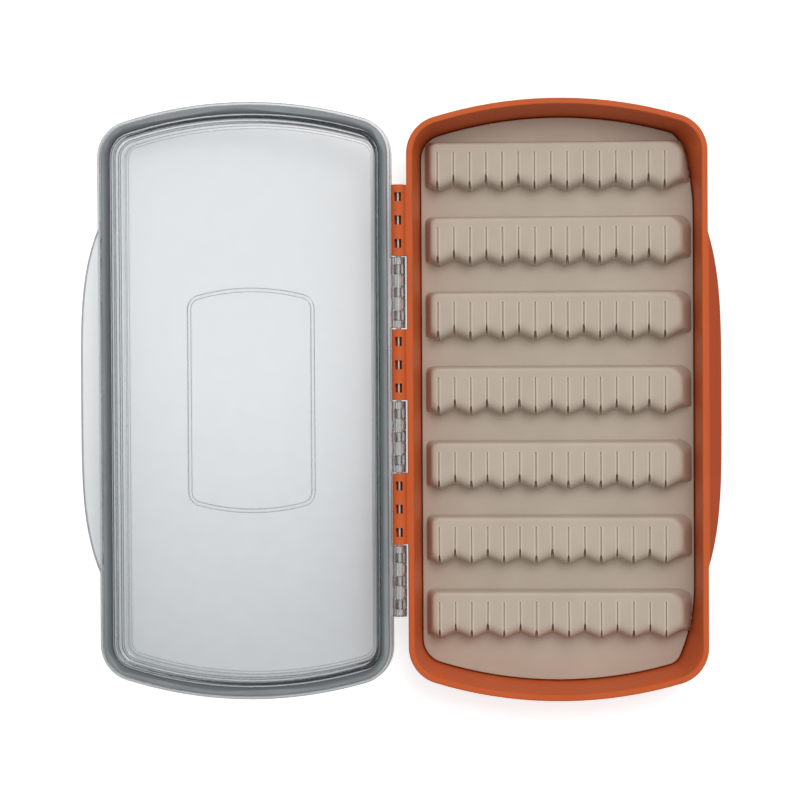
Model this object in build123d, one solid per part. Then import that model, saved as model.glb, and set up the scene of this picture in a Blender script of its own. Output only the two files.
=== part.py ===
from build123d import *
import math
import os

# Fly box, open: a moulded tray with slotted ridges on a mat, and a clear lid with a seal,
# joined by a moulded barrel hinge on one steel pin. Millimetres, +Z up.
# Origin: centre of the flat underside of the tray. +X runs from the hinge to the finger
# flange, +Y runs along the hinge.

# Outline shared by the tray rim and the lid rim
box_width = 91.6             # rim width, without hinge and finger flange
box_length = 184.0           # rim length at the middle of the bowed ends
end_bow_radius = 131.0       # the two short ends are shallow arcs
corner_radius = 11.4

# Tray
base_height = 19.45
base_floor = 2.0
wall = 1.9                   # rim land and wall thickness
wall_run = 2.0               # how far the walls lean in from rim to underside
end_wall_run = 3.2           # the same for the inner faces of the bowed end walls
flange_corner_start = 57.5   # from here on the floor narrows at its flange-side corners,
flange_corner_run = 5.4      # by this much where it meets the end wall
flange_corner_radius = 5.0
base_bottom_bevel = 2.0
rim_inner_bevel = 0.25
rim_outer_bevel = 0.3

# Lid, drawn in its own frame: hinge axis on the local Y axis, rim up, panel below
lid_height = 12.0
rim_gap = 0.3                # between the two rims when closed
lid_panel = 1.8              # thickness of the clear panel
lid_lip = 0.9                # outer lip beside the seal groove
lid_band_height = 4.0        # height of the rim band that carries the seal groove
lid_band_inset = 3.5         # the body below the band is this much smaller per side
lid_body_run = 1.1           # lean of that body
lid_bottom_bevel = 1.2
lid_rib_width = 1.0          # rib on the inner side of the seal groove
lid_rib_drop = 0.5           # its top lies this far below the rim
lid_ledge_depth = 5.0        # ledge part of the way down the inner wall
lid_ledge_width = 0.8
lid_inner_run = 0.35         # lean of each of the two inner wall steps
lid_inner_bevel = 0.8        # where the inner wall meets the panel

# Seal ring in the lid
groove_width = 3.2
groove_depth = 2.4
gasket_width = 2.5
gasket_side_clearance = 0.05

# Blank raised frame moulded on the outside of the lid panel
frame_width = 40.2
frame_length = 70.0
frame_bow_radius = 66.0
frame_corner_radius = 4.4
frame_rib_width = 1.05
frame_rib_height = 0.35

# Hinge
hinge_axis_out = 2.5         # axis to the rim edge of either half
barrel_radius = 2.15
pin_radius = 0.75
pin_clearance = 0.05         # radial running fit
pin_end_recess = 0.6
knuckle_count = 6
knuckle_pitch = 22.03
knuckle_gap = 0.35
windows_per_knuckle = 3
window_pitch = 7.1
window_width = 2.1
window_length = 2.7
web_root = 0.9               # how far the hinge web reaches into the wall
base_web_depth = 6.5
lid_web_depth = 3.8
web_pocket_start = 1.25      # relief pockets under the web start this far from the axis
web_pocket_roof = 1.2

# Finger flanges
base_flange_length = 102.0
base_flange_reach = 4.1
base_flange_drop = 0.5       # where the thumb slope starts, below the rim
base_flange_slope = 38.0     # degrees
base_flange_lip_width = 1.0
base_flange_lip_drop = 3.1
base_flange_thickness = 1.5
lid_flange_length = 107.0
lid_flange_reach = 5.8
lid_flange_thickness = 1.6
flange_edge_bevel = 0.35
bulge_power = 4              # fullness of the flange outline
bulge_stations = 8

# Mat and ridges
mat_thickness = 2.5
mat_gap = 0.1
ridge_height = 7.0
ridge_pitch = 23.08
ridge_first_margin = 8.43    # mat end to the back edge of the ridge nearest +Y
ridge_last_margin = 12.0     # at least this much mat is left beyond the last ridge
ridge_hinge_margin = 1.2     # mat edge to the foot of a ridge, at its hinge end
ridge_hinge_run = 2.0        # lean of that end, top to foot
ridge_hinge_corner = 0.9     # its cut-off back corner
ridge_flange_margin = 0.5    # the same three at its flange end
ridge_flange_run = 3.2
ridge_flange_corner = 3.0
ridge_back_run = 0.7         # lean of the back
ridge_peak_depth = 12.9      # back edge to a tooth of the front edge, at the top
ridge_valley_depth = 9.9
ridge_hinge_depth = 11.0     # the same where the front edge meets the hinge end
ridge_flange_depth = 9.4     # and where it meets the flange end
ridge_tooth_run = 1.6        # lean of the teeth
ridge_wall_depth = 9.0       # back edge to the plain front behind the teeth, at the top
ridge_wall_run = 3.5         # lean of that front, which comes out of the valleys lower down

# Slits, one at each tooth and one between each two
slit_pitch = 4.98
slit_first_margin = 2.2     # top end of a ridge to its first slit
slit_last_margin = 4.9       # at least this much is left beyond the last slit
slit_width = 0.35
slit_depth = 5.0
slit_back_margin = 2.0
slit_mouth_width = 0.8
slit_mouth_length = 2.6

# Worked out from the above
rim_edge_x = box_width / 2
axis_x = -(rim_edge_x + hinge_axis_out)
axis_z = base_height + rim_gap / 2
floor_top = base_floor
mat_top = floor_top + mat_thickness
floor_side_inset = wall + wall_run * (base_height - floor_top) / base_height
floor_end_inset = wall + end_wall_run * (base_height - floor_top) / base_height
mat_side_inset = floor_side_inset + mat_gap
mat_end_inset = floor_end_inset + mat_gap
mat_end_y = box_length / 2 - mat_end_inset
mat_side_x = box_width / 2 - mat_side_inset
ridge_foot_start = ridge_hinge_margin - mat_side_x
ridge_foot_end = mat_side_x - ridge_flange_margin
ridge_top_start = ridge_foot_start + ridge_hinge_run
ridge_top_end = ridge_foot_end - ridge_flange_run
ridge_top_z = mat_top + ridge_height
first_ridge_y = mat_end_y - ridge_first_margin
last_ridge_y = ridge_last_margin + ridge_peak_depth + ridge_tooth_run - mat_end_y
ridge_count = 1 + math.floor((first_ridge_y - last_ridge_y) / ridge_pitch)
first_slit_x = ridge_top_start + slit_first_margin
last_slit_x = ridge_top_end - slit_last_margin
slit_count = 1 + math.floor((last_slit_x - first_slit_x) / slit_pitch)
hinge_length = knuckle_count * knuckle_pitch
bore_radius = pin_radius + pin_clearance
lid_rim_z = -rim_gap / 2
lid_panel_top = lid_rim_z - lid_height + lid_panel
lid_centre_x = -(hinge_axis_out + box_width / 2)
groove_inner = lid_lip + groove_width
groove_floor = lid_rim_z - groove_depth
UPWARDS = (Align.CENTER, Align.CENTER, Align.MIN)
DOWNWARDS = (Align.CENTER, Align.CENTER, Align.MAX)


def bowed_rectangle(width, length, bow_radius, corner):
    """Rectangle whose two short ends are shallow arcs, with rounded corners."""
    half_width = width / 2
    half_length = length / 2
    sag = bow_radius - math.sqrt(bow_radius**2 - half_width**2)
    shoulder = half_length - sag
    sides = [
        Line((half_width, -shoulder), (half_width, shoulder)),
        ThreePointArc((half_width, shoulder), (0, half_length), (-half_width, shoulder)),
        Line((-half_width, shoulder), (-half_width, -shoulder)),
        ThreePointArc((-half_width, -shoulder), (0, -half_length), (half_width, -shoulder)),
    ]
    face = make_face(sides)
    return fillet(face.vertices(), corner)


def rim_face(side_inset, end_inset, z):
    """The box outline moved inwards, at height z."""
    outline = bowed_rectangle(
        box_width - 2 * side_inset,
        box_length - 2 * end_inset,
        end_bow_radius - end_inset,
        corner_radius - side_inset,
    )
    return Pos(0, 0, z) * outline


def tapered_block(inset, top_z, run, bottom_z):
    """Solid under the outline, all its walls leaning in by run from top to bottom."""
    height = top_z - bottom_z
    angle = math.degrees(math.atan2(run, height))
    upside_down = extrude(rim_face(inset, inset, 0), amount=height, taper=angle)
    return Pos(0, 0, top_z) * Rot(180, 0, 0) * upside_down


def edges_at(solid, z):
    """Edges that lie wholly at height z."""
    return solid.edges().filter_by_position(Axis.Z, z - 0.001, z + 0.001)


def side_to_end(start, end):
    """Line on from a straight side, or an arc tangent to it where the end lies further in."""
    if start[0] == end[0]:
        return Line(start, end)
    return TangentArc(start, end, tangent=(0, start[1]))


def corners_on(face, side):
    """Corner vertices of an outline on one side (+1 or -1) of its middle."""
    return face.vertices().filter_by(
        lambda vertex: vertex.X * side > 0 and abs(vertex.Y) > flange_corner_start + 1
    )


def inner_face(side_inset, end_inset, corner_run, corner, z):
    """Inside of the box outline at height z, narrowed by corner_run in its flange-side corners."""
    side = box_width / 2 - side_inset
    half_length = box_length / 2 - end_inset
    bow = end_bow_radius - end_inset
    corner_x = side - corner_run
    corner_y = half_length - bow + math.sqrt(bow**2 - corner_x**2)
    hinge_y = half_length - bow + math.sqrt(bow**2 - side**2)
    start = flange_corner_start
    outline = [
        Line((side, -start), (side, start)),
        side_to_end((side, start), (corner_x, corner_y)),
        ThreePointArc((corner_x, corner_y), (0, half_length), (-side, hinge_y)),
        Line((-side, hinge_y), (-side, -hinge_y)),
        ThreePointArc((-side, -hinge_y), (0, -half_length), (corner_x, -corner_y)),
        side_to_end((side, -start), (corner_x, -corner_y)),
    ]
    face = make_face(outline)
    face = fillet(corners_on(face, -1), corner_radius - side_inset)
    return Pos(0, 0, z) * fillet(corners_on(face, 1), corner)


def tray_cavity():
    """Inside of the tray, whose end walls lean more than its side walls, bevelled at the rim."""
    rim_inset = wall - rim_inner_bevel
    rim_corner = corner_radius - wall
    sections = [
        inner_face(
            floor_side_inset,
            floor_end_inset,
            flange_corner_run,
            flange_corner_radius,
            floor_top,
        ),
        inner_face(wall, wall, 0, rim_corner, base_height - rim_inner_bevel),
        inner_face(rim_inset, rim_inset, 0, rim_corner, base_height),
    ]
    return loft(sections, ruled=True)


def tray():
    """Open tray: leaning walls, flat floor, bevelled underside and rim."""
    body = tapered_block(0, base_height, wall_run, 0)
    body = chamfer(edges_at(body, 0), base_bottom_bevel)
    body = chamfer(edges_at(body, base_height), rim_outer_bevel)
    return body - tray_cavity()


def knuckle(towards_wall, web_depth, length):
    """One hinge barrel with its web, axis on local Y, wall on the side towards_wall (+1 or -1)."""
    barrel = extrude(Plane.XZ * Circle(barrel_radius), amount=length / 2, both=True)
    foot = (hinge_axis_out + web_root, -web_depth)
    foot_distance = math.hypot(*foot)
    tangent_angle = math.atan2(foot[1], foot[0]) - math.acos(barrel_radius / foot_distance)
    tangent = (
        barrel_radius * math.cos(tangent_angle),
        barrel_radius * math.sin(tangent_angle),
    )
    rim_level = -rim_gap / 2
    corners = [(0, rim_level), tangent, foot, (foot[0], rim_level)]
    web_face = Plane.XZ * make_face(Polyline(*corners, close=True))
    web = extrude(web_face, amount=length / 2, both=True)
    pocket_reach = foot[0] - web_pocket_start
    pocket_height = web_depth - web_pocket_roof
    for index in range(windows_per_knuckle):
        y = (index - (windows_per_knuckle - 1) / 2) * window_pitch
        pocket = Box(pocket_reach, window_length, pocket_height, align=DOWNWARDS)
        pocket_x = web_pocket_start + pocket_reach / 2
        web -= Pos(pocket_x, y, -web_pocket_roof) * pocket
    body = barrel + web
    if towards_wall < 0:
        body = mirror(body, about=Plane.YZ)
    return body


def hinge_cuts(knuckle_indices):
    """Bore for the pin, windows above it in each knuckle, and core openings below between them."""
    bore = extrude(Plane.XZ * Circle(bore_radius), amount=hinge_length / 2, both=True)
    cuts = [bore]
    cut_depth = barrel_radius + 1
    for knuckle_index in knuckle_indices:
        centre = knuckle_y(knuckle_index)
        for index in range(windows_per_knuckle):
            y = centre + (index - (windows_per_knuckle - 1) / 2) * window_pitch
            window = Box(window_width, window_length, cut_depth, align=UPWARDS)
            cuts.append(Pos(0, y, 0) * window)
        for index in range(windows_per_knuckle - 1):
            y = centre + (index - (windows_per_knuckle - 2) / 2) * window_pitch
            opening = Box(window_width, window_length, cut_depth, align=DOWNWARDS)
            cuts.append(Pos(0, y, 0) * opening)
    return cuts


def knuckle_y(index):
    """Centre of a knuckle along the hinge, counted from +Y."""
    return hinge_length / 2 - (index + 0.5) * knuckle_pitch


def bulge_face(length, reach, root):
    """Plan of a finger flange: a full bulge on the +X side of the line x = 0."""
    points = []
    for station in range(bulge_stations + 1):
        u = -1 + 2 * station / bulge_stations
        points.append((reach * (1 - abs(u) ** bulge_power), u * length / 2))
    outer = Spline(*points)
    back = Polyline(points[-1], (-root, length / 2), (-root, -length / 2), points[0])
    return make_face([outer, back])


def base_flange():
    """Tray flange: a slope for the thumb that ends in a narrow flat lip."""
    root = wall * 2 / 3
    top = base_height - base_flange_drop
    bottom = base_height - base_flange_lip_drop - base_flange_thickness
    plan = bulge_face(base_flange_length, base_flange_reach, root)
    block = Pos(rim_edge_x, 0, bottom) * extrude(plan, amount=top - bottom)
    run = base_flange_reach + 1
    fall = run * math.tan(math.radians(base_flange_slope))
    wedge_corners = [(0, 0), (run, -fall), (run, 1), (0, 1)]
    wedge_face = Plane.XZ * make_face(Polyline(*wedge_corners, close=True))
    wedge = Pos(rim_edge_x, 0, top) * extrude(wedge_face, amount=base_flange_length, both=True)
    ramp = block - wedge
    inner_plan = bulge_face(base_flange_length, base_flange_reach - base_flange_lip_width, root)
    lip_height = base_flange_thickness
    lip = Pos(rim_edge_x, 0, bottom) * extrude(plan - inner_plan, amount=lip_height)
    return ramp + lip


def base_shell():
    """Tray with its knuckles and finger flange."""
    body = tray() + base_flange()
    indices = range(0, knuckle_count, 2)
    length = knuckle_pitch - knuckle_gap
    for index in indices:
        body += Pos(axis_x, knuckle_y(index), axis_z) * knuckle(1, base_web_depth, length)
    for cut in hinge_cuts(indices):
        body -= Pos(axis_x, 0, axis_z) * cut
    return body


def lid_outer():
    """Outside of the lid: a rim band over a smaller leaning body with a bevelled panel edge."""
    band_bottom = lid_rim_z - lid_band_height
    underside = lid_rim_z - lid_height
    band = Pos(0, 0, band_bottom) * extrude(rim_face(0, 0, 0), amount=lid_band_height)
    body = tapered_block(lid_band_inset, band_bottom, lid_body_run, underside)
    return band + chamfer(edges_at(body, underside), lid_bottom_bevel)


def lid_cavity():
    """Hollow of the lid: rib top, upper wall, ledge, lower wall, bevelled into the panel."""
    rib_outer = groove_inner
    rib_inner = rib_outer + lid_rib_width
    rib_top = lid_rim_z - lid_rib_drop
    ledge_z = lid_rim_z - lid_ledge_depth
    ledge_inner = rib_inner + lid_inner_run + lid_ledge_width
    above_rib = Pos(0, 0, rib_top) * extrude(rim_face(rib_outer, rib_outer, 0), amount=lid_rib_drop)
    upper = tapered_block(rib_inner, rib_top, lid_inner_run, ledge_z)
    lower = tapered_block(ledge_inner, ledge_z, lid_inner_run, lid_panel_top)
    lower = chamfer(edges_at(lower, lid_panel_top), lid_inner_bevel)
    return above_rib + upper + lower


def ring(outer_inset, width, bottom_z, height):
    """Ring that follows the box outline."""
    outer = rim_face(outer_inset, outer_inset, bottom_z)
    inner = rim_face(outer_inset + width, outer_inset + width, bottom_z)
    return extrude(outer - inner, amount=height)


def blank_frame():
    """Raised frame rib on the outside of the lid panel, with nothing in it."""
    outer = bowed_rectangle(frame_width, frame_length, frame_bow_radius, frame_corner_radius)
    inner = bowed_rectangle(
        frame_width - 2 * frame_rib_width,
        frame_length - 2 * frame_rib_width,
        frame_bow_radius - frame_rib_width,
        frame_corner_radius - frame_rib_width,
    )
    bottom = lid_rim_z - lid_height - frame_rib_height
    return Pos(0, 0, bottom) * extrude(outer - inner, amount=frame_rib_height + lid_panel / 2)


def lid_flange():
    """Thin flange level with the lid rim, on the side away from the hinge."""
    plan = bulge_face(lid_flange_length, lid_flange_reach, lid_lip / 2)
    plate = extrude(plan, amount=lid_flange_thickness)
    plate = chamfer(plate.edges().filter_by(GeomType.BSPLINE), flange_edge_bevel)
    plate = mirror(plate, about=Plane.YZ)
    return Pos(-rim_edge_x, 0, lid_rim_z - lid_flange_thickness) * plate


def lid_shell():
    """Clear lid in its own frame, rim up."""
    body = lid_outer() - lid_cavity()
    body -= ring(lid_lip, groove_width, groove_floor, groove_depth)
    body += blank_frame() + lid_flange()
    body = Pos(lid_centre_x, 0, 0) * body
    indices = range(1, knuckle_count, 2)
    length = knuckle_pitch - knuckle_gap
    for index in indices:
        body += Pos(0, knuckle_y(index), 0) * knuckle(-1, lid_web_depth, length)
    for cut in hinge_cuts(indices):
        body -= cut
    return body


def lid_gasket():
    """Seal ring against the outer side of its groove."""
    inset = lid_lip + gasket_side_clearance
    seal = ring(inset, gasket_width, groove_floor, groove_depth)
    return Pos(lid_centre_x, 0, 0) * seal


def hinge_pin():
    """Steel pin through all knuckles."""
    half = hinge_length / 2 - pin_end_recess
    return Pos(axis_x, 0, axis_z) * extrude(Plane.XZ * Circle(pin_radius), amount=half, both=True)


def mat_block(height):
    """Block over the outline of the mat, which follows the tray floor."""
    face = inner_face(
        mat_side_inset,
        mat_end_inset,
        flange_corner_run,
        flange_corner_radius,
        floor_top,
    )
    return extrude(face, amount=height)


def fly_mat():
    """Sheet that fills the tray floor."""
    return mat_block(mat_thickness)


def slit_x(index):
    """Place of a slit along its ridge."""
    return first_slit_x + index * slit_pitch


def front_depth(index):
    """Depth of the ridge's top face at a slit: teeth and valleys take turns."""
    return ridge_peak_depth if index % 2 == 0 else ridge_valley_depth


def ridge_trapezoid(top_start, top_end, foot_start, foot_end):
    """Trapezoid from the mat up to the top of a ridge."""
    corners = [
        (top_start, ridge_top_z),
        (top_end, ridge_top_z),
        (foot_end, mat_top),
        (foot_start, mat_top),
    ]
    return make_face(Polyline(*corners, close=True))


def ridge_corners(body, side):
    """Upright back corner edge at one end (side +1 or -1) of a ridge."""
    return body.edges().filter_by(
        lambda edge: (edge @ 0.5).X * side > 0
        and (edge @ 0.5).Y > 0
        and abs((edge @ 0).Z - (edge @ 1).Z) > ridge_height / 2
    )


def ridge_body():
    """Ridge without slits: leaning back, front and ends, toothed front, cut-off back corners."""
    wall_foot = ridge_wall_depth + ridge_wall_run
    profile = ridge_trapezoid(-ridge_wall_depth, 0, -wall_foot, ridge_back_run)
    block = extrude(Plane.YZ * profile, amount=ridge_foot_end - ridge_foot_start)
    body = Pos(ridge_foot_start, 0, 0) * block + ridge_teeth()
    ends = ridge_trapezoid(ridge_top_start, ridge_top_end, ridge_foot_start, ridge_foot_end)
    body &= extrude(Plane.XZ * ends, amount=2 * ridge_peak_depth, both=True)
    body = chamfer(ridge_corners(body, -1), ridge_hinge_corner)
    return chamfer(ridge_corners(body, 1), ridge_flange_corner)


def ridge_teeth():
    """Zigzag front of the top, carried down a slope and on past both ends."""
    plan = [(slit_x(index), -front_depth(index)) for index in range(slit_count)]
    start = (ridge_top_start, -ridge_hinge_depth)
    end = (ridge_top_end, -ridge_flange_depth)
    plan.insert(0, beyond_end(plan[0], start, ridge_foot_start))
    plan.append(beyond_end(plan[-1], end, ridge_foot_end))
    plan += [(ridge_foot_end, -slit_back_margin), (ridge_foot_start, -slit_back_margin)]
    slope = Vector(0, -ridge_tooth_run, -ridge_height)
    face = Pos(0, 0, ridge_top_z) * make_face(Polyline(*plan, close=True))
    return extrude(face, amount=slope.length, dir=slope)


def beyond_end(tooth, end, x):
    """Point at x on the line from a tooth through the front corner of a ridge's top."""
    rise = (end[1] - tooth[1]) / (end[0] - tooth[0])
    return (x, tooth[1] + rise * (x - tooth[0]))


def slit_plans():
    """Slits seen from above, each with a V-shaped mouth at the front."""
    plans = Sketch()
    thin = slit_width / 2
    mouth = slit_mouth_width / 2
    beyond = ridge_peak_depth + ridge_wall_run
    for index in range(slit_count):
        mouth_start = slit_mouth_length - front_depth(index)
        corners = [
            (-thin, -slit_back_margin),
            (thin, -slit_back_margin),
            (thin, mouth_start),
            (mouth, -beyond),
            (-mouth, -beyond),
            (-thin, mouth_start),
        ]
        plans += Pos(slit_x(index), 0) * make_face(Polyline(*corners, close=True))
    return plans


def slit_ridge():
    """One slotted ridge, its top back edge on the local X axis, foot on the mat."""
    slits = Pos(0, 0, ridge_top_z - slit_depth) * extrude(slit_plans(), amount=slit_depth + 1)
    return ridge_body() - slits


def lid_rest_angle():
    """Tilt of the open lid below level, with its far bottom edge on the table."""
    inset = lid_band_inset + lid_body_run + lid_bottom_bevel
    run = hinge_axis_out + box_width - inset
    drop = lid_height - lid_rim_z
    return math.degrees(math.asin(axis_z / math.hypot(run, drop)) - math.atan2(drop, run))


def placed_lid(piece):
    """Lid piece from its own frame to where it lies open."""
    return Pos(axis_x, 0, axis_z) * Rot(0, -lid_rest_angle(), 0) * piece


def save(name, piece):
    """Write one piece, named after its file."""
    piece.label = name
    export_step(piece, os.path.join("parts", name + ".step"))


os.makedirs("parts", exist_ok=True)
save("base_shell", base_shell())
save("lid_shell", placed_lid(lid_shell()))
save("lid_gasket", placed_lid(lid_gasket()))
save("hinge_pin", hinge_pin())
save("fly_mat", fly_mat())
ridge = slit_ridge()
above_mat = mat_block(base_height)
for number in range(ridge_count):
    ridge_y = first_ridge_y - number * ridge_pitch
    save(f"slit_ridge_{number + 1}", Pos(0, ridge_y, 0) * ridge & above_mat)
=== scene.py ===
import math

import bmesh
import bpy
import numpy as np
from mathutils import Matrix, Vector


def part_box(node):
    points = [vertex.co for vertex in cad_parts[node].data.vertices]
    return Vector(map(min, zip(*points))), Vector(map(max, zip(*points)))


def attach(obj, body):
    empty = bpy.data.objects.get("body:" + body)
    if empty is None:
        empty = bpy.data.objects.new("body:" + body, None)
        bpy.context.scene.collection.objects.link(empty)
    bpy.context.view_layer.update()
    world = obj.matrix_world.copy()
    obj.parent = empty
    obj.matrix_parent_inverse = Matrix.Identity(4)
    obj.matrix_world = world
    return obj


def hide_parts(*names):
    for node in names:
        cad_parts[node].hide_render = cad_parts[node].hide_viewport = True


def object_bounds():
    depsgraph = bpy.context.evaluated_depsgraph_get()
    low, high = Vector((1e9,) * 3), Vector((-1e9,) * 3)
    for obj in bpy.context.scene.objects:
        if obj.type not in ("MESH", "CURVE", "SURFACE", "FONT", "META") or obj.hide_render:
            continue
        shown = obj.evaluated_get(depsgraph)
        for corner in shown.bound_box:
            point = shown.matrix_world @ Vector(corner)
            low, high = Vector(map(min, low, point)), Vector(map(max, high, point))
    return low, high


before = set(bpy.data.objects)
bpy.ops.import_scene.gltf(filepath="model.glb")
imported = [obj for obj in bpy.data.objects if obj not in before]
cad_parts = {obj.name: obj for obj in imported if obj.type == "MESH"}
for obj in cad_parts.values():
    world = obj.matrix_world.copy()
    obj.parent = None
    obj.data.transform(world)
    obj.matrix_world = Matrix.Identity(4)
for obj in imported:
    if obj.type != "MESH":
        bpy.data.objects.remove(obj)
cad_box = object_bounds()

# Open fly box. Lengths are in metres; MM turns millimetres into metres.
MM = 0.001

# Camera: straight down from above the hinge, nearly square to the table
IMAGE_PIXELS = 800
FOCAL_PIXELS = 2764.7
SENSOR = 36.0
CAMERA_TARGET = Vector((-48.02, 0.24, 19.3)) * MM
CAMERA_DISTANCE = 844.7 * MM
CAMERA_TILT_X = 0.058
CAMERA_TILT_Y = 0.0198
CAMERA_ROLL = 0.0056
CAMERA_CLIP = 0.01

# Studio: paper floor, light tent and one lamp
WHITE = (1.0, 1.0, 1.0, 1.0)
FLOOR_GAP = 0.02 * MM
FLOOR_SIZE = 3.0
PAPER_LOW = (0.80, 0.80, 0.80)
PAPER_HIGH = (0.83, 0.83, 0.83)
PAPER_GLOW = 0.55
# Seen through the lid, the paper glows as a painted pool of light around a centre, fading to
# painted shade beyond
PAPER_PAINTED_LIGHT = 0.27
PAPER_PAINTED_LIGHT_START = 0.04
PAPER_PAINTED_LIGHT_END = 0.17
PAPER_PAINTED_LIGHT_CENTRE = (-0.09, 0.06, 0)
TENT_LOW = 0.28
TENT_HIGH = 0.44
TENT_FULL_HEIGHT = 0.5
TENT_KEY = (0.3, 0.55, 0.8)
TENT_KEY_POWER = 3.0
TENT_KEY_GAIN = 0.9
KEY_PLACE = (0.35, 0.9, 1.8)
KEY_SIZE = 1.0
KEY_WATTS = 12.8

# Colour and roughness of each material go from the first value to the second with a noise
RAMP_START = 0.3
RAMP_END = 0.7
TRAY_COLOURS = ((0.54, 0.096, 0.019), (0.58, 0.106, 0.024))
TRAY_ROUGHNESS = (0.38, 0.48)
TRAY_SPECULAR = 0.2
TRAY_GRAIN = 0.012 * MM
TRAY_EDGE = 0.18 * MM
# Thumb flange: painted shade, a darker colour from GRIP_START outwards
GRIP_START = 46.0 * MM
GRIP_RUN = 0.3 * MM
GRIP_PAINTED_SHADE = (0.70, 0.62, 0.80)
SILICONE_COLOURS = ((0.455, 0.385, 0.31), (0.49, 0.415, 0.335))
SILICONE_ROUGHNESS = (0.55, 0.68)
SILICONE_GRAIN = 0.015 * MM
# Paler colour on the lips of the slits: a painted highlight
LIP_PAINTED_HIGHLIGHT = (0.58, 0.50, 0.41)
CLEAR_COLOURS = ((0.97, 0.98, 0.985), (0.985, 0.99, 0.99))
CLEAR_ROUGHNESS = (0.02, 0.05)
CLEAR_IOR = 1.585
CLEAR_EDGE = 0.45 * MM
# Painted shade: dark lines along the clear plastic's edges, where its rounded normals turn
CLEAR_PAINTED_EDGE_SHADE = (0.03, 0.04, 0.045)
CLEAR_LINE_START = 0.99
CLEAR_LINE_FULL = 0.92
CLEAR_SHADOW = (0.90, 0.912, 0.918)
SMOKE_COLOUR = (0.745, 0.775, 0.785)
SMOKE_DENSITY = 160
SEAL_COLOURS = ((0.19, 0.21, 0.218), (0.24, 0.26, 0.27))
SEAL_ROUGHNESS = (0.28, 0.40)
SEAL_GRAIN = 0.01 * MM
# Painted shade on the seal's sides that face the inside of the ring
SEAL_PAINTED_SHADE = (0.085, 0.095, 0.10)
PIN_COLOURS = ((0.34, 0.325, 0.31), (0.46, 0.44, 0.42))
PIN_ROUGHNESS = (0.22, 0.38)
PIN_STRETCH = (6000, 60, 6000)

# Rays for each rounded normal, and the sockets of a Mix node that mixes colours
ROUNDING_SAMPLES = 4
MIX_FIRST = 6
MIX_SECOND = 7
MIX_RESULT = 2

# Mesh clean-up, shading and the rounded upper edges of the seal and the mat
WELD_DISTANCE = 0.5e-6
FLAT_ANGLE = 0.5
HARD_PART_CREASE = 35
SOFT_PART_CREASE = 40
WALL_SLOPE = 0.3
TOP_SLOPE = 0.9
EDGE_SEGMENTS = 4
EDGE_PROFILE = 0.5
SEAL_EDGE = 0.6 * MM
MAT_EDGE = 0.35 * MM

# Ridges: sizes and places of the CAD solids. A ridge's top back edge is its own y = 0.
RIDGE_COUNT = 7
RIDGE_FOOT_Z = 4.5 * MM
RIDGE_HEIGHT = 7.0 * MM
RIDGE_TOP_SINK = 0.1 * MM
RIDGE_BACK = 0.7 * MM
HINGE_END = -40.75 * MM
HINGE_RUN = 2.0 * MM
FLANGE_END = 41.45 * MM
FLANGE_RUN = 3.2 * MM
BACK_OUT = 0.4 * MM
BACK_RUN = 0.6 * MM
HINGE_CORNER = 0.9 * MM
FLANGE_CORNER = 3.0 * MM
PEAK_DEPTH = 13.7 * MM
VALLEY_DEPTH = 11.2 * MM
HINGE_DEPTH = 12.0 * MM
FLANGE_DEPTH = 10.7 * MM
PEAK_FOOT = 14.6 * MM
VALLEY_FOOT = 12.5 * MM
MAT_CORNER_START = 57.5 * MM
MAT_CORNER_RADIUS = 70.0 * MM
MAT_SIDE = 41.9 * MM

# How far the ridges' edges are rounded, and how their surface is found
SHIFT_COUNT = 5
ZIGZAG_SOFTNESS = 0.9 * MM
EDGE_SOFTNESS = 1.2 * MM
FRONT_SOFTNESS = 2.8 * MM
DIAGONAL = 0.707
FRONT_LEAN_SQUARED = 0.1
SLOPE_STEP = 0.1 * MM
SEARCH_START = -0.5 * MM
SEARCH_STEPS = 22

# Slits of the ridges and their mouths at the front
SLIT_COUNT = 15
SLIT_PITCH = 4.98 * MM
FIRST_SLIT = -36.606 * MM
SLIT_FLOOR = 2.0 * MM
SLIT_HALF = 0.24 * MM
SLIT_START = 2.5 * MM
SLIT_SPARE = 0.01 * MM
GROOVE_DEPTH = 0.45 * MM
MOUTH_HALF = 0.38 * MM
MOUTH_LENGTH = 2.1 * MM
MOUTH_OPENING = 0.6
MOUTH_FALL = 0.5
FLOOR_SHARE = 0.2
FLOOR_SHARE_GAIN = 0.75
LIP_WIDTH = 0.16 * MM
LIP_RISE = 0.08 * MM
LIP_LEAST_HEIGHT = 5 * MM
SLIT_COLUMNS = [
    (-1, "lip"),
    (-1, "edge"),
    (-1, "floor"),
    (1, "floor"),
    (1, "edge"),
    (1, "lip"),
]

# Chance: each slit bends and gapes a little, and each ridge's surface is slightly uneven
SEED = 7
SWAY = 0.035 * MM
SWAY_RUN = 8 * MM
LEAST_GAPE = 0.75
MOST_GAPE = 1.35
WAVE_HEIGHT = 0.03 * MM
WAVE_ALONG = 9 * MM
WAVE_ACROSS = 5 * MM
WAVE_SHIFT = 6
WAVE_LEAST_HEIGHT = 1 * MM

BODY = {name: "lid" if name.startswith("lid") else "tray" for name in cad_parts}


def camera():
    """Camera at the viewing angle of the photograph."""
    data = bpy.data.cameras.new("camera")
    data.lens = FOCAL_PIXELS / IMAGE_PIXELS * SENSOR
    data.sensor_width = SENSOR
    data.clip_start = CAMERA_CLIP
    forward = Vector((-math.sin(CAMERA_TILT_X), -math.sin(CAMERA_TILT_Y), -1)).normalized()
    up = Vector((math.sin(CAMERA_ROLL), math.cos(CAMERA_ROLL), 0))
    right = forward.cross(up).normalized()
    up = right.cross(forward)
    place = CAMERA_TARGET - forward * CAMERA_DISTANCE
    obj = bpy.data.objects.new("camera", data)
    axes = Matrix((right, up, -forward)).transposed().to_4x4()
    obj.matrix_world = Matrix.Translation(place) @ axes
    bpy.context.scene.collection.objects.link(obj)
    bpy.context.scene.camera = obj


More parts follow.
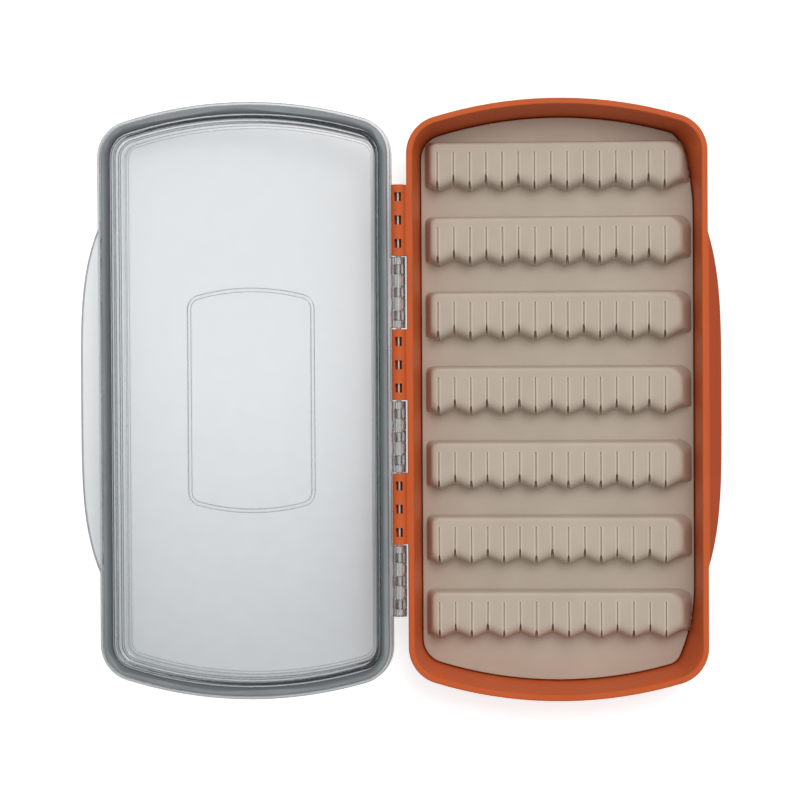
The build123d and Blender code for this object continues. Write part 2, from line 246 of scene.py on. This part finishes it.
class Nodes:
    """Short way to write the node tree of a material or of the world."""

    def __init__(self, owner, output="OutputMaterial"):
        owner.use_nodes = True
        self.tree = owner.node_tree
        self.tree.nodes.clear()
        self.output = self.add(output)

    def add(self, kind, **settings):
        node = self.tree.nodes.new("ShaderNode" + kind)
        for key, value in settings.items():
            setattr(node, key, value)
        return node

    def link(self, start, end):
        self.tree.links.new(start, end)

    def place(self):
        """Position on the object, in metres."""
        return self.add("TexCoord").outputs["Object"]

    def noise(self, scale, detail):
        """Noise over the object, with this many cells to the metre."""
        node = self.add("TexNoise")
        node.inputs["Scale"].default_value = scale
        node.inputs["Detail"].default_value = detail
        self.link(self.place(), node.inputs["Vector"])
        return node.outputs["Fac"]

    def ramp(self, value, low, high):
        """Colour that goes from low to high as value goes from the ramp's start to its end."""
        node = self.add("ValToRGB")
        first, last = node.color_ramp.elements
        first.position = RAMP_START
        last.position = RAMP_END
        first.color = (*low, 1)
        last.color = (*high, 1)
        self.link(value, node.inputs["Fac"])
        return node.outputs["Color"]

    def remap(self, value, start, end, low=0.0, high=1.0, interpolation="LINEAR"):
        """Number that goes from low to high as value goes from start to end."""
        node = self.add("MapRange", interpolation_type=interpolation)
        node.inputs["From Min"].default_value = start
        node.inputs["From Max"].default_value = end
        node.inputs["To Min"].default_value = low
        node.inputs["To Max"].default_value = high
        self.link(value, node.inputs["Value"])
        return node.outputs["Result"]

    def math(self, operation, *values):
        """Result of an operation on numbers or on values from other nodes."""
        node = self.add("Math", operation=operation)
        for value, socket in zip(values, node.inputs):
            if isinstance(value, float):
                socket.default_value = value
            else:
                self.link(value, socket)
        return node.outputs["Value"]

    def tint(self, colour, second, amount, blend="MIX"):
        """Colour that takes on a fixed second colour by amount."""
        node = self.add("Mix", data_type="RGBA", blend_type=blend)
        self.link(amount, node.inputs["Factor"])
        self.link(colour, node.inputs[MIX_FIRST])
        node.inputs[MIX_SECOND].default_value = (*second, 1)
        return node.outputs[MIX_RESULT]

    def attribute(self, name):
        """Value that the mesh keeps at its points under this name."""
        return self.add("Attribute", attribute_name=name).outputs["Fac"]

    def bump(self, height, distance, strength, normal=None):
        """Normals tilted by a relief of this height in metres."""
        node = self.add("Bump")
        node.inputs["Distance"].default_value = distance
        node.inputs["Strength"].default_value = strength
        self.link(height, node.inputs["Height"])
        if normal is not None:
            self.link(normal, node.inputs["Normal"])
        return node.outputs["Normal"]

    def soft_edges(self, radius):
        """Normals rounded over sharp edges."""
        node = self.add("Bevel", samples=ROUNDING_SAMPLES)
        node.inputs["Radius"].default_value = radius
        return node.outputs["Normal"]

    def ray_switch(self, *kinds):
        """1 for a ray of one of these kinds, and 0 for any other."""
        path = self.add("LightPath")
        first, *others = [path.outputs["Is " + kind + " Ray"] for kind in kinds]
        for other in others:
            first = self.math("MAXIMUM", first, other)
        return first

    def mix_shaders(self, amount, first, second):
        """Shader that goes from first to second as amount goes from 0 to 1."""
        node = self.add("MixShader")
        self.link(amount, node.inputs["Fac"])
        self.link(first, node.inputs[1])
        self.link(second, node.inputs[2])
        return node.outputs["Shader"]


def tray_plastic():
    """Burnt orange moulded plastic, satin, with painted shade darkening the thumb flange."""
    material = bpy.data.materials.new("tray_plastic")
    n = Nodes(material)
    shader = n.add("BsdfPrincipled")
    colour = n.ramp(n.noise(60, 3), *TRAY_COLOURS)
    parts = n.add("SeparateXYZ")
    n.link(n.place(), parts.inputs["Vector"])
    # Painted shade: the colour is multiplied darker on the thumb flange
    painted_shade_on_grip = n.remap(parts.outputs["X"], GRIP_START, GRIP_START + GRIP_RUN)
    n.link(n.tint(colour, GRIP_PAINTED_SHADE, painted_shade_on_grip, "MULTIPLY"), shader.inputs["Base Color"])
    n.link(n.remap(n.noise(900, 2), 0, 1, *TRAY_ROUGHNESS), shader.inputs["Roughness"])
    shader.inputs["Specular IOR Level"].default_value = TRAY_SPECULAR
    grain = n.bump(n.noise(4500, 1), TRAY_GRAIN, 0.6, n.soft_edges(TRAY_EDGE))
    n.link(grain, shader.inputs["Normal"])
    n.link(shader.outputs["BSDF"], n.output.inputs["Surface"])
    return material


def ridge_silicone():
    """Beige silicone, matt, with a painted highlight that makes the lips of the slits paler."""
    material = bpy.data.materials.new("ridge_silicone")
    n = Nodes(material)
    shader = n.add("BsdfPrincipled")
    colour = n.ramp(n.noise(90, 3), *SILICONE_COLOURS)
    # Painted highlight: the lips of the slits take a paler colour
    n.link(n.tint(colour, LIP_PAINTED_HIGHLIGHT, n.attribute("lip")), shader.inputs["Base Color"])
    n.link(n.remap(n.noise(1200, 2), 0, 1, *SILICONE_ROUGHNESS), shader.inputs["Roughness"])
    n.link(n.bump(n.noise(2500, 2), SILICONE_GRAIN, 0.7), shader.inputs["Normal"])
    n.link(shader.outputs["BSDF"], n.output.inputs["Surface"])
    return material


def clear_plastic():
    """Clear plastic with a smoke tint, dark lines of painted shade along its edges and only a
    light shadow.
    """
    material = bpy.data.materials.new("clear_plastic")
    n = Nodes(material)
    shader = n.add("BsdfPrincipled")
    rounded = n.soft_edges(CLEAR_EDGE)
    colour = n.ramp(n.noise(25, 2), *CLEAR_COLOURS)
    turn = n.add("VectorMath", operation="DOT_PRODUCT")
    n.link(rounded, turn.inputs[0])
    n.link(n.add("NewGeometry").outputs["Normal"], turn.inputs[1])
    # Painted shade: the colour goes dark near sharp edges
    painted_edge_shade = n.remap(turn.outputs["Value"], CLEAR_LINE_START, CLEAR_LINE_FULL)
    n.link(n.tint(colour, CLEAR_PAINTED_EDGE_SHADE, painted_edge_shade), shader.inputs["Base Color"])
    shader.inputs["Transmission Weight"].default_value = 1.0
    shader.inputs["IOR"].default_value = CLEAR_IOR
    n.link(n.remap(n.noise(400, 2), 0, 1, *CLEAR_ROUGHNESS), shader.inputs["Roughness"])
    n.link(rounded, shader.inputs["Normal"])
    plain = n.add("BsdfTransparent")
    plain.inputs["Color"].default_value = (*CLEAR_SHADOW, 1)
    straight = n.ray_switch("Shadow", "Diffuse")
    surface = n.mix_shaders(straight, shader.outputs["BSDF"], plain.outputs["BSDF"])
    n.link(surface, n.output.inputs["Surface"])
    smoke = n.add("VolumeAbsorption")
    smoke.inputs["Color"].default_value = (*SMOKE_COLOUR, 1)
    smoke.inputs["Density"].default_value = SMOKE_DENSITY
    n.link(smoke.outputs["Volume"], n.output.inputs["Volume"])
    return material


def seal_rubber():
    """Grey silicone of the seal, with painted shade on the sides that face the inside of the ring.
    """
    material = bpy.data.materials.new("seal_rubber")
    n = Nodes(material)
    shader = n.add("BsdfPrincipled")
    colour = n.ramp(n.noise(80, 2), *SEAL_COLOURS)
    # Painted shade: the inner sides of the ring take a darker colour
    n.link(n.tint(colour, SEAL_PAINTED_SHADE, n.attribute("painted_inner_shade")), shader.inputs["Base Color"])
    n.link(n.remap(n.noise(900, 2), 0, 1, *SEAL_ROUGHNESS), shader.inputs["Roughness"])
    n.link(n.bump(n.noise(1500, 2), SEAL_GRAIN, 0.5), shader.inputs["Normal"])
    n.link(shader.outputs["BSDF"], n.output.inputs["Surface"])
    return material


def pin_steel():
    """Drawn steel wire with fine lines along it."""
    material = bpy.data.materials.new("pin_steel")
    n = Nodes(material)
    shader = n.add("BsdfPrincipled")
    stretch = n.add("Mapping")
    stretch.inputs["Scale"].default_value = PIN_STRETCH
    n.link(n.place(), stretch.inputs["Vector"])
    lines = n.add("TexNoise")
    lines.inputs["Scale"].default_value = 1.0
    n.link(stretch.outputs["Vector"], lines.inputs["Vector"])
    n.link(n.ramp(lines.outputs["Fac"], *PIN_COLOURS), shader.inputs["Base Color"])
    shader.inputs["Metallic"].default_value = 1.0
    n.link(n.remap(lines.outputs["Fac"], 0, 1, *PIN_ROUGHNESS), shader.inputs["Roughness"])
    n.link(shader.outputs["BSDF"], n.output.inputs["Surface"])
    return material


def floor_paper():
    """White matt paper that glows for the camera, and near the box a painted pool of light through
    the lid.
    """
    material = bpy.data.materials.new("floor_paper")
    n = Nodes(material)
    diffuse = n.add("BsdfDiffuse")
    n.link(n.ramp(n.noise(200, 2), PAPER_LOW, PAPER_HIGH), diffuse.inputs["Color"])
    distance = n.add("VectorMath", operation="DISTANCE")
    n.link(n.place(), distance.inputs[0])
    distance.inputs[1].default_value = PAPER_PAINTED_LIGHT_CENTRE
    # Painted pool of light, seen only through the lid, fading to painted shade away from its
    # centre
    reach = (PAPER_PAINTED_LIGHT_START, PAPER_PAINTED_LIGHT_END, PAPER_PAINTED_LIGHT, 0.0)
    painted_light_fade = n.remap(distance.outputs["Value"], *reach, "SMOOTHSTEP")
    through = n.math("MULTIPLY", painted_light_fade, n.ray_switch("Glossy", "Transmission"))
    seen = n.math("MULTIPLY", n.ray_switch("Camera"), PAPER_GLOW)
    glow = n.add("Emission")
    n.link(n.math("MAXIMUM", through, seen), glow.inputs["Strength"])
    both = n.add("AddShader")
    n.link(diffuse.outputs["BSDF"], both.inputs[0])
    n.link(glow.outputs["Emission"], both.inputs[1])
    n.link(both.outputs["Shader"], n.output.inputs["Surface"])
    return material


def floor():
    """Plain pale floor just under the box."""
    half = FLOOR_SIZE / 2
    z = cad_box[0][2] - FLOOR_GAP
    mesh = bpy.data.meshes.new("floor")
    corners = [(-half, -half, z), (half, -half, z), (half, half, z), (-half, half, z)]
    mesh.from_pydata(corners, [], [(0, 1, 2, 3)])
    mesh.materials.append(floor_paper())
    obj = bpy.data.objects.new("floor", mesh)
    bpy.context.scene.collection.objects.link(obj)


def room():
    """Light tent, brighter above and towards the lamp, behind a backdrop that is seen as white."""
    world = bpy.data.worlds.new("room")
    n = Nodes(world, "OutputWorld")
    direction = n.add("TexCoord").outputs["Generated"]
    parts = n.add("SeparateXYZ")
    n.link(direction, parts.inputs["Vector"])
    rise = (0.0, TENT_FULL_HEIGHT, TENT_LOW, TENT_HIGH)
    height = n.remap(parts.outputs["Z"], *rise, "SMOOTHSTEP")
    along = n.add("VectorMath", operation="DOT_PRODUCT")
    n.link(direction, along.inputs[0])
    along.inputs[1].default_value = Vector(TENT_KEY).normalized()
    towards = n.math("MAXIMUM", along.outputs["Value"], 0.0)
    lobe = n.math("POWER", towards, TENT_KEY_POWER)
    tent = n.add("Background")
    tent.inputs["Color"].default_value = WHITE
    n.link(n.math("MULTIPLY_ADD", lobe, TENT_KEY_GAIN, height), tent.inputs["Strength"])
    backdrop = n.add("Background")
    backdrop.inputs["Color"].default_value = WHITE
    seen = n.ray_switch("Camera", "Glossy", "Transmission")
    mix = n.mix_shaders(seen, tent.outputs["Background"], backdrop.outputs["Background"])
    n.link(mix, n.output.inputs["Surface"])
    bpy.context.scene.world = world


def lamp():
    """Square soft lamp, high on the +Y side, that points at the origin, the middle of the tray."""
    data = bpy.data.lights.new("key", "AREA")
    data.shape = "SQUARE"
    data.size = KEY_SIZE
    data.energy = KEY_WATTS
    obj = bpy.data.objects.new("key", data)
    obj.location = KEY_PLACE
    obj.rotation_euler = (-Vector(KEY_PLACE)).to_track_quat("-Z", "Y").to_euler()
    bpy.context.scene.collection.objects.link(obj)


def studio():
    """Light tent, lamp and floor, shown with plain colours."""
    room()
    lamp()
    floor()
    bpy.context.scene.view_settings.view_transform = "Standard"


def smooth(obj, angle):
    """Smooth shading, apart from edges sharper than the angle in degrees."""
    obj.data.polygons.foreach_set("use_smooth", [True] * len(obj.data.polygons))
    weld = obj.modifiers.new("weld", "WELD")
    weld.merge_threshold = WELD_DISTANCE
    split = obj.modifiers.new("split", "EDGE_SPLIT")
    split.split_angle = math.radians(angle)


def dress(node, material):
    """Gives a CAD node its material and smooth shading."""
    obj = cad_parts[node]
    obj.data.materials.clear()
    obj.data.materials.append(material)
    smooth(obj, HARD_PART_CREASE)


def mesh_piece(bm, name, material, node):
    """Object from a finished mesh, which stands for a CAD node and moves with it."""
    mesh = bpy.data.meshes.new(name)
    bm.to_mesh(mesh)
    bm.free()
    mesh.materials.append(material)
    obj = bpy.data.objects.new(name, mesh)
    bpy.context.scene.collection.objects.link(obj)
    smooth(obj, SOFT_PART_CREASE)
    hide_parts(node)
    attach(obj, BODY[node])


def is_upper_edge(edge):
    """Whether an edge lies between a wall and a level side that faces up."""
    rises = [face.normal.z for face in edge.link_faces]
    steepest = min(abs(rise) for rise in rises)
    return steepest < WALL_SLOPE and max(rises) > TOP_SLOPE


def mark_painted_inner_shade(bm, node):
    """Marks the points whose faces look towards the middle of the node, for the seal's painted
    shade.
    """
    low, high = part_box(node)
    centre = (Vector(low) + Vector(high)) / 2
    painted_inner_shade = bm.verts.layers.float.new("painted_inner_shade")
    for vert in bm.verts:
        outward = (vert.co - centre).to_2d()
        vert[painted_inner_shade] = sum(face.normal.to_2d().dot(outward) for face in vert.link_faces) < 0


def soft_copy(node, name, radius, material):
    """A soft part with the outline of its CAD solid and its upper edges rounded."""
    bm = bmesh.new()
    bm.from_mesh(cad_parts[node].data)
    flat = math.radians(FLAT_ANGLE)
    bmesh.ops.remove_doubles(bm, verts=bm.verts, dist=WELD_DISTANCE)
    bmesh.ops.dissolve_limit(bm, angle_limit=flat, verts=bm.verts, edges=bm.edges)
    bm.normal_update()
    upper = [edge for edge in bm.edges if is_upper_edge(edge)]
    steps = {"segments": EDGE_SEGMENTS, "profile": EDGE_PROFILE}
    bmesh.ops.bevel(bm, geom=upper, offset=radius, affect="EDGES", **steps)
    bm.normal_update()
    mark_painted_inner_shade(bm, node)
    mesh_piece(bm, name, material, node)


def soft_max(first, second, softness):
    """The larger of two signed distances, rounded where they meet."""
    overlap = np.maximum(softness - np.abs(first - second), 0)
    return np.maximum(first, second) + overlap**2 / (4 * softness)


def tooth_depth(x):
    """Depth of a ridge's top at x: a zigzag with a tooth or a valley at each slit."""
    slits = FIRST_SLIT + SLIT_PITCH * np.arange(SLIT_COUNT)
    depths = np.where(np.arange(SLIT_COUNT) % 2 == 0, PEAK_DEPTH, VALLEY_DEPTH)
    places = [HINGE_END + HINGE_RUN, *slits, FLANGE_END - FLANGE_RUN]
    depths = [HINGE_DEPTH, *depths, FLANGE_DEPTH]
    shifts = np.linspace(-1, 1, SHIFT_COUNT) * ZIGZAG_SOFTNESS
    return sum(np.interp(x + shift, places, depths) for shift in shifts) / len(shifts)


def front_depth(x, z):
    """Depth of the front at a height: from the zigzag of the top to a flatter wave at the foot."""
    tooth = tooth_depth(x)
    share = (tooth - VALLEY_DEPTH) / (PEAK_DEPTH - VALLEY_DEPTH)
    foot = VALLEY_FOOT + (PEAK_FOOT - VALLEY_FOOT) * share
    return tooth + (foot - tooth) * (1 - z / RIDGE_HEIGHT)


def ridge_distance(x, y, z, ridge_y):
    """Signed distance to the surface of a ridge without slits, all its edges rounded."""
    fall = 1 - z / RIDGE_HEIGHT
    hinge = HINGE_END + HINGE_RUN * (1 - fall) - x
    flange = x - FLANGE_END + FLANGE_RUN * (1 - fall)
    back = y - BACK_OUT - BACK_RUN * fall
    slope = (tooth_depth(x + SLOPE_STEP) - tooth_depth(x - SLOPE_STEP)) / (2 * SLOPE_STEP)
    front = (-y - front_depth(x, z)) / np.sqrt(1 + FRONT_LEAN_SQUARED + slope**2)
    past_corner = np.maximum(np.abs(y + ridge_y) - MAT_CORNER_START, 0)
    mat_edge = x - MAT_SIDE + past_corner**2 / (2 * MAT_CORNER_RADIUS)
    sides = soft_max(hinge, back, EDGE_SOFTNESS)
    sides = soft_max(sides, (hinge + back + HINGE_CORNER) * DIAGONAL, EDGE_SOFTNESS)
    sides = soft_max(sides, flange, EDGE_SOFTNESS)
    sides = soft_max(sides, (flange + back + FLANGE_CORNER) * DIAGONAL, EDGE_SOFTNESS)
    sides = soft_max(sides, mat_edge, EDGE_SOFTNESS)
    top = soft_max(z - RIDGE_HEIGHT + RIDGE_TOP_SINK, front, FRONT_SOFTNESS)
    return soft_max(sides, top, EDGE_SOFTNESS)


def ridge_top(x, y, ridge_y):
    """Height of a ridge's surface over its foot, found by halving; 0 outside the ridge."""
    low = np.full(x.shape, SEARCH_START)
    high = np.full(x.shape, RIDGE_HEIGHT)
    for _ in range(SEARCH_STEPS):
        middle = (low + high) / 2
        inside = ridge_distance(x, y, middle, ridge_y) < 0
        low = np.where(inside, middle, low)
        high = np.where(inside, high, middle)
    return np.maximum(low, 0)


def plain_columns(start, steps):
    """Columns away from any slit, at steps in millimetres from a place."""
    return [(start + step * MM, 0, "plain") for step in steps]


def ridge_columns():
    """Places along a ridge, and for each the side and the role that it has at its slit."""
    hinge_side = [-0.05, 0.05, 0.2, 0.45, 0.8, 1.15, 1.5, 1.8, 2.1, 2.45]
    columns = plain_columns(HINGE_END, hinge_side)
    for index in range(SLIT_COUNT):
        slit = FIRST_SLIT + index * SLIT_PITCH
        if index:
            columns += plain_columns(slit, (-2.49, -1.9))
        columns += plain_columns(slit, (-1.35, -0.85))
        columns += [(slit, side, role) for side, role in SLIT_COLUMNS]
        columns += plain_columns(slit, (0.85, 1.35))
        if index < SLIT_COUNT - 1:
            columns += plain_columns(slit, (1.9,))
    flange_side = [-6.0, -5.2, -4.5, -4.0, -3.6, -3.2, -2.8, -2.4, -2.0, -1.6, -1.2, -0.8]
    flange_side += [-0.5, -0.25, -0.1, 0, 0.04]
    return columns + plain_columns(FLANGE_END, flange_side)


def ridge_rows(x):
    """Depth of each row of points at x, from behind the back to in front of the foot."""
    back = [-1.03, -0.98, -0.9, -0.78, -0.65, -0.5, -0.3, -0.05, 0.25, 0.6, 1.0, 1.5, 2.0]
    rows = [step * MM for step in back]
    rows += [SLIT_START, SLIT_START + 0.15 * MM, SLIT_START + 0.5 * MM]
    depth = tooth_depth(x)
    start = rows[-1]
    rows += [start + (depth - 2.6 * MM - start) * step / 6 for step in range(1, 7)]
    rows += [depth + step * MM for step in (-2.1, -1.7, -1.3, -1.0, -0.7, -0.4, -0.1, 0.2)]
    foot = front_depth(x, 0)
    start = rows[-1]
    rows += [start + (foot - start) * step for step in (0.12, 0.28, 0.45, 0.62, 0.8, 0.92, 1.0)]
    rows.append(foot + 0.05 * MM)
    return rows


def slit_column(place, side, role, rows, sway, gape):
    """Column of points at a slit: where each lies along the ridge, and its cut, lip and mouth."""
    opening = np.clip((rows - tooth_depth(place) + MOUTH_LENGTH) / MOUTH_LENGTH, 0, 1)
    half = (SLIT_HALF + (MOUTH_HALF - SLIT_HALF) * opening**MOUTH_OPENING) * gape
    mouth = np.zeros(len(rows))
    if role == "lip":
        half = half + LIP_WIDTH
    if role == "floor":
        half = half * (FLOOR_SHARE + FLOOR_SHARE_GAIN * opening)
        mouth = opening**MOUTH_FALL
    along = np.clip((rows - SLIT_START) / SWAY_RUN, 0, 1)
    x = place + side * half + sway * along
    cut = (role == "floor") & (rows > SLIT_START + SLIT_SPARE)
    return x, cut, rows > SLIT_START, mouth


def ridge_grid(number, ridge_y):
    """Grid of points over a ridge: place along it, depth, height over the foot, share of lip."""
    random = np.random.default_rng(SEED + number)
    sway = random.normal(0, SWAY, SLIT_COUNT)
    gape = random.uniform(LEAST_GAPE, MOST_GAPE, SLIT_COUNT)
    shift = random.uniform(0, WAVE_SHIFT)
    columns = ridge_columns()
    depth = np.array([ridge_rows(place) for place, side, role in columns]).T
    x = np.zeros(depth.shape)
    cut = np.zeros(depth.shape)
    lip = np.zeros(depth.shape)
    mouth = np.zeros(depth.shape)
    for column, (place, side, role) in enumerate(columns):
        x[:, column] = place
        if role != "plain":
            index = round((place - FIRST_SLIT) / SLIT_PITCH)
            rows = depth[:, column]
            values = slit_column(place, side, role, rows, sway[index], gape[index])
            x[:, column], cut[:, column], lip[:, column], mouth[:, column] = values
    lip *= 1 - cut
    z = ridge_top(x, -depth, ridge_y)
    wave = np.sin(x / WAVE_ALONG + shift) * np.sin(depth / WAVE_ACROSS + number)
    z = np.where(z > 0, z + WAVE_HEIGHT * wave * (z > WAVE_LEAST_HEIGHT), 0)
    z = z + LIP_RISE * lip * (z > LIP_LEAST_HEIGHT)
    groove = z - GROOVE_DEPTH
    groove += (np.minimum(groove, SLIT_FLOOR) - groove) * mouth
    z = np.where(cut > 0, np.minimum(z, np.maximum(groove, 0)), z)
    return x, depth, z, lip


def close_foot(bm):
    """Drops unused points, closes the open underside and turns all faces outward."""
    loose = [vert for vert in bm.verts if not vert.link_faces]
    bmesh.ops.delete(bm, geom=loose, context="VERTS")
    rim = [edge for edge in bm.edges if edge.is_boundary]
    bmesh.ops.holes_fill(bm, edges=rim, sides=0)
    bmesh.ops.recalc_face_normals(bm, faces=bm.faces)


def ridge_piece(number, material):
    """Silicone ridge with soft edges, teeth and slits that open in a small mouth at the front."""
    node = "slit_ridge_" + str(number)
    low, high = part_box(node)
    ridge_y = high[1] - RIDGE_BACK
    x, depth, z, lip = ridge_grid(number, ridge_y)
    bm = bmesh.new()
    painted_highlight = bm.verts.layers.float.new("lip")
    grid = np.empty(x.shape, dtype=object)
    for spot in np.ndindex(x.shape):
        grid[spot] = bm.verts.new((x[spot], ridge_y - depth[spot], RIDGE_FOOT_Z + z[spot]))
        # The lip share is kept on each point for the painted highlight on the lips
        grid[spot][painted_highlight] = lip[spot]
    for row, column in np.ndindex(x.shape[0] - 1, x.shape[1] - 1):
        square = (slice(row, row + 2), slice(column, column + 2))
        if z[square].max() > 0:
            (first, fourth), (second, third) = grid[square]
            bm.faces.new((first, second, third, fourth))
    close_foot(bm)
    mesh_piece(bm, "ridge_" + str(number), material, node)


camera()
studio()
silicone = ridge_silicone()
dress("base_shell", tray_plastic())
dress("lid_shell", clear_plastic())
soft_copy("lid_gasket", "seal_ring", SEAL_EDGE, seal_rubber())
dress("hinge_pin", pin_steel())
soft_copy("fly_mat", "mat_sheet", MAT_EDGE, silicone)
for number in range(1, RIDGE_COUNT + 1):
    ridge_piece(number, silicone)
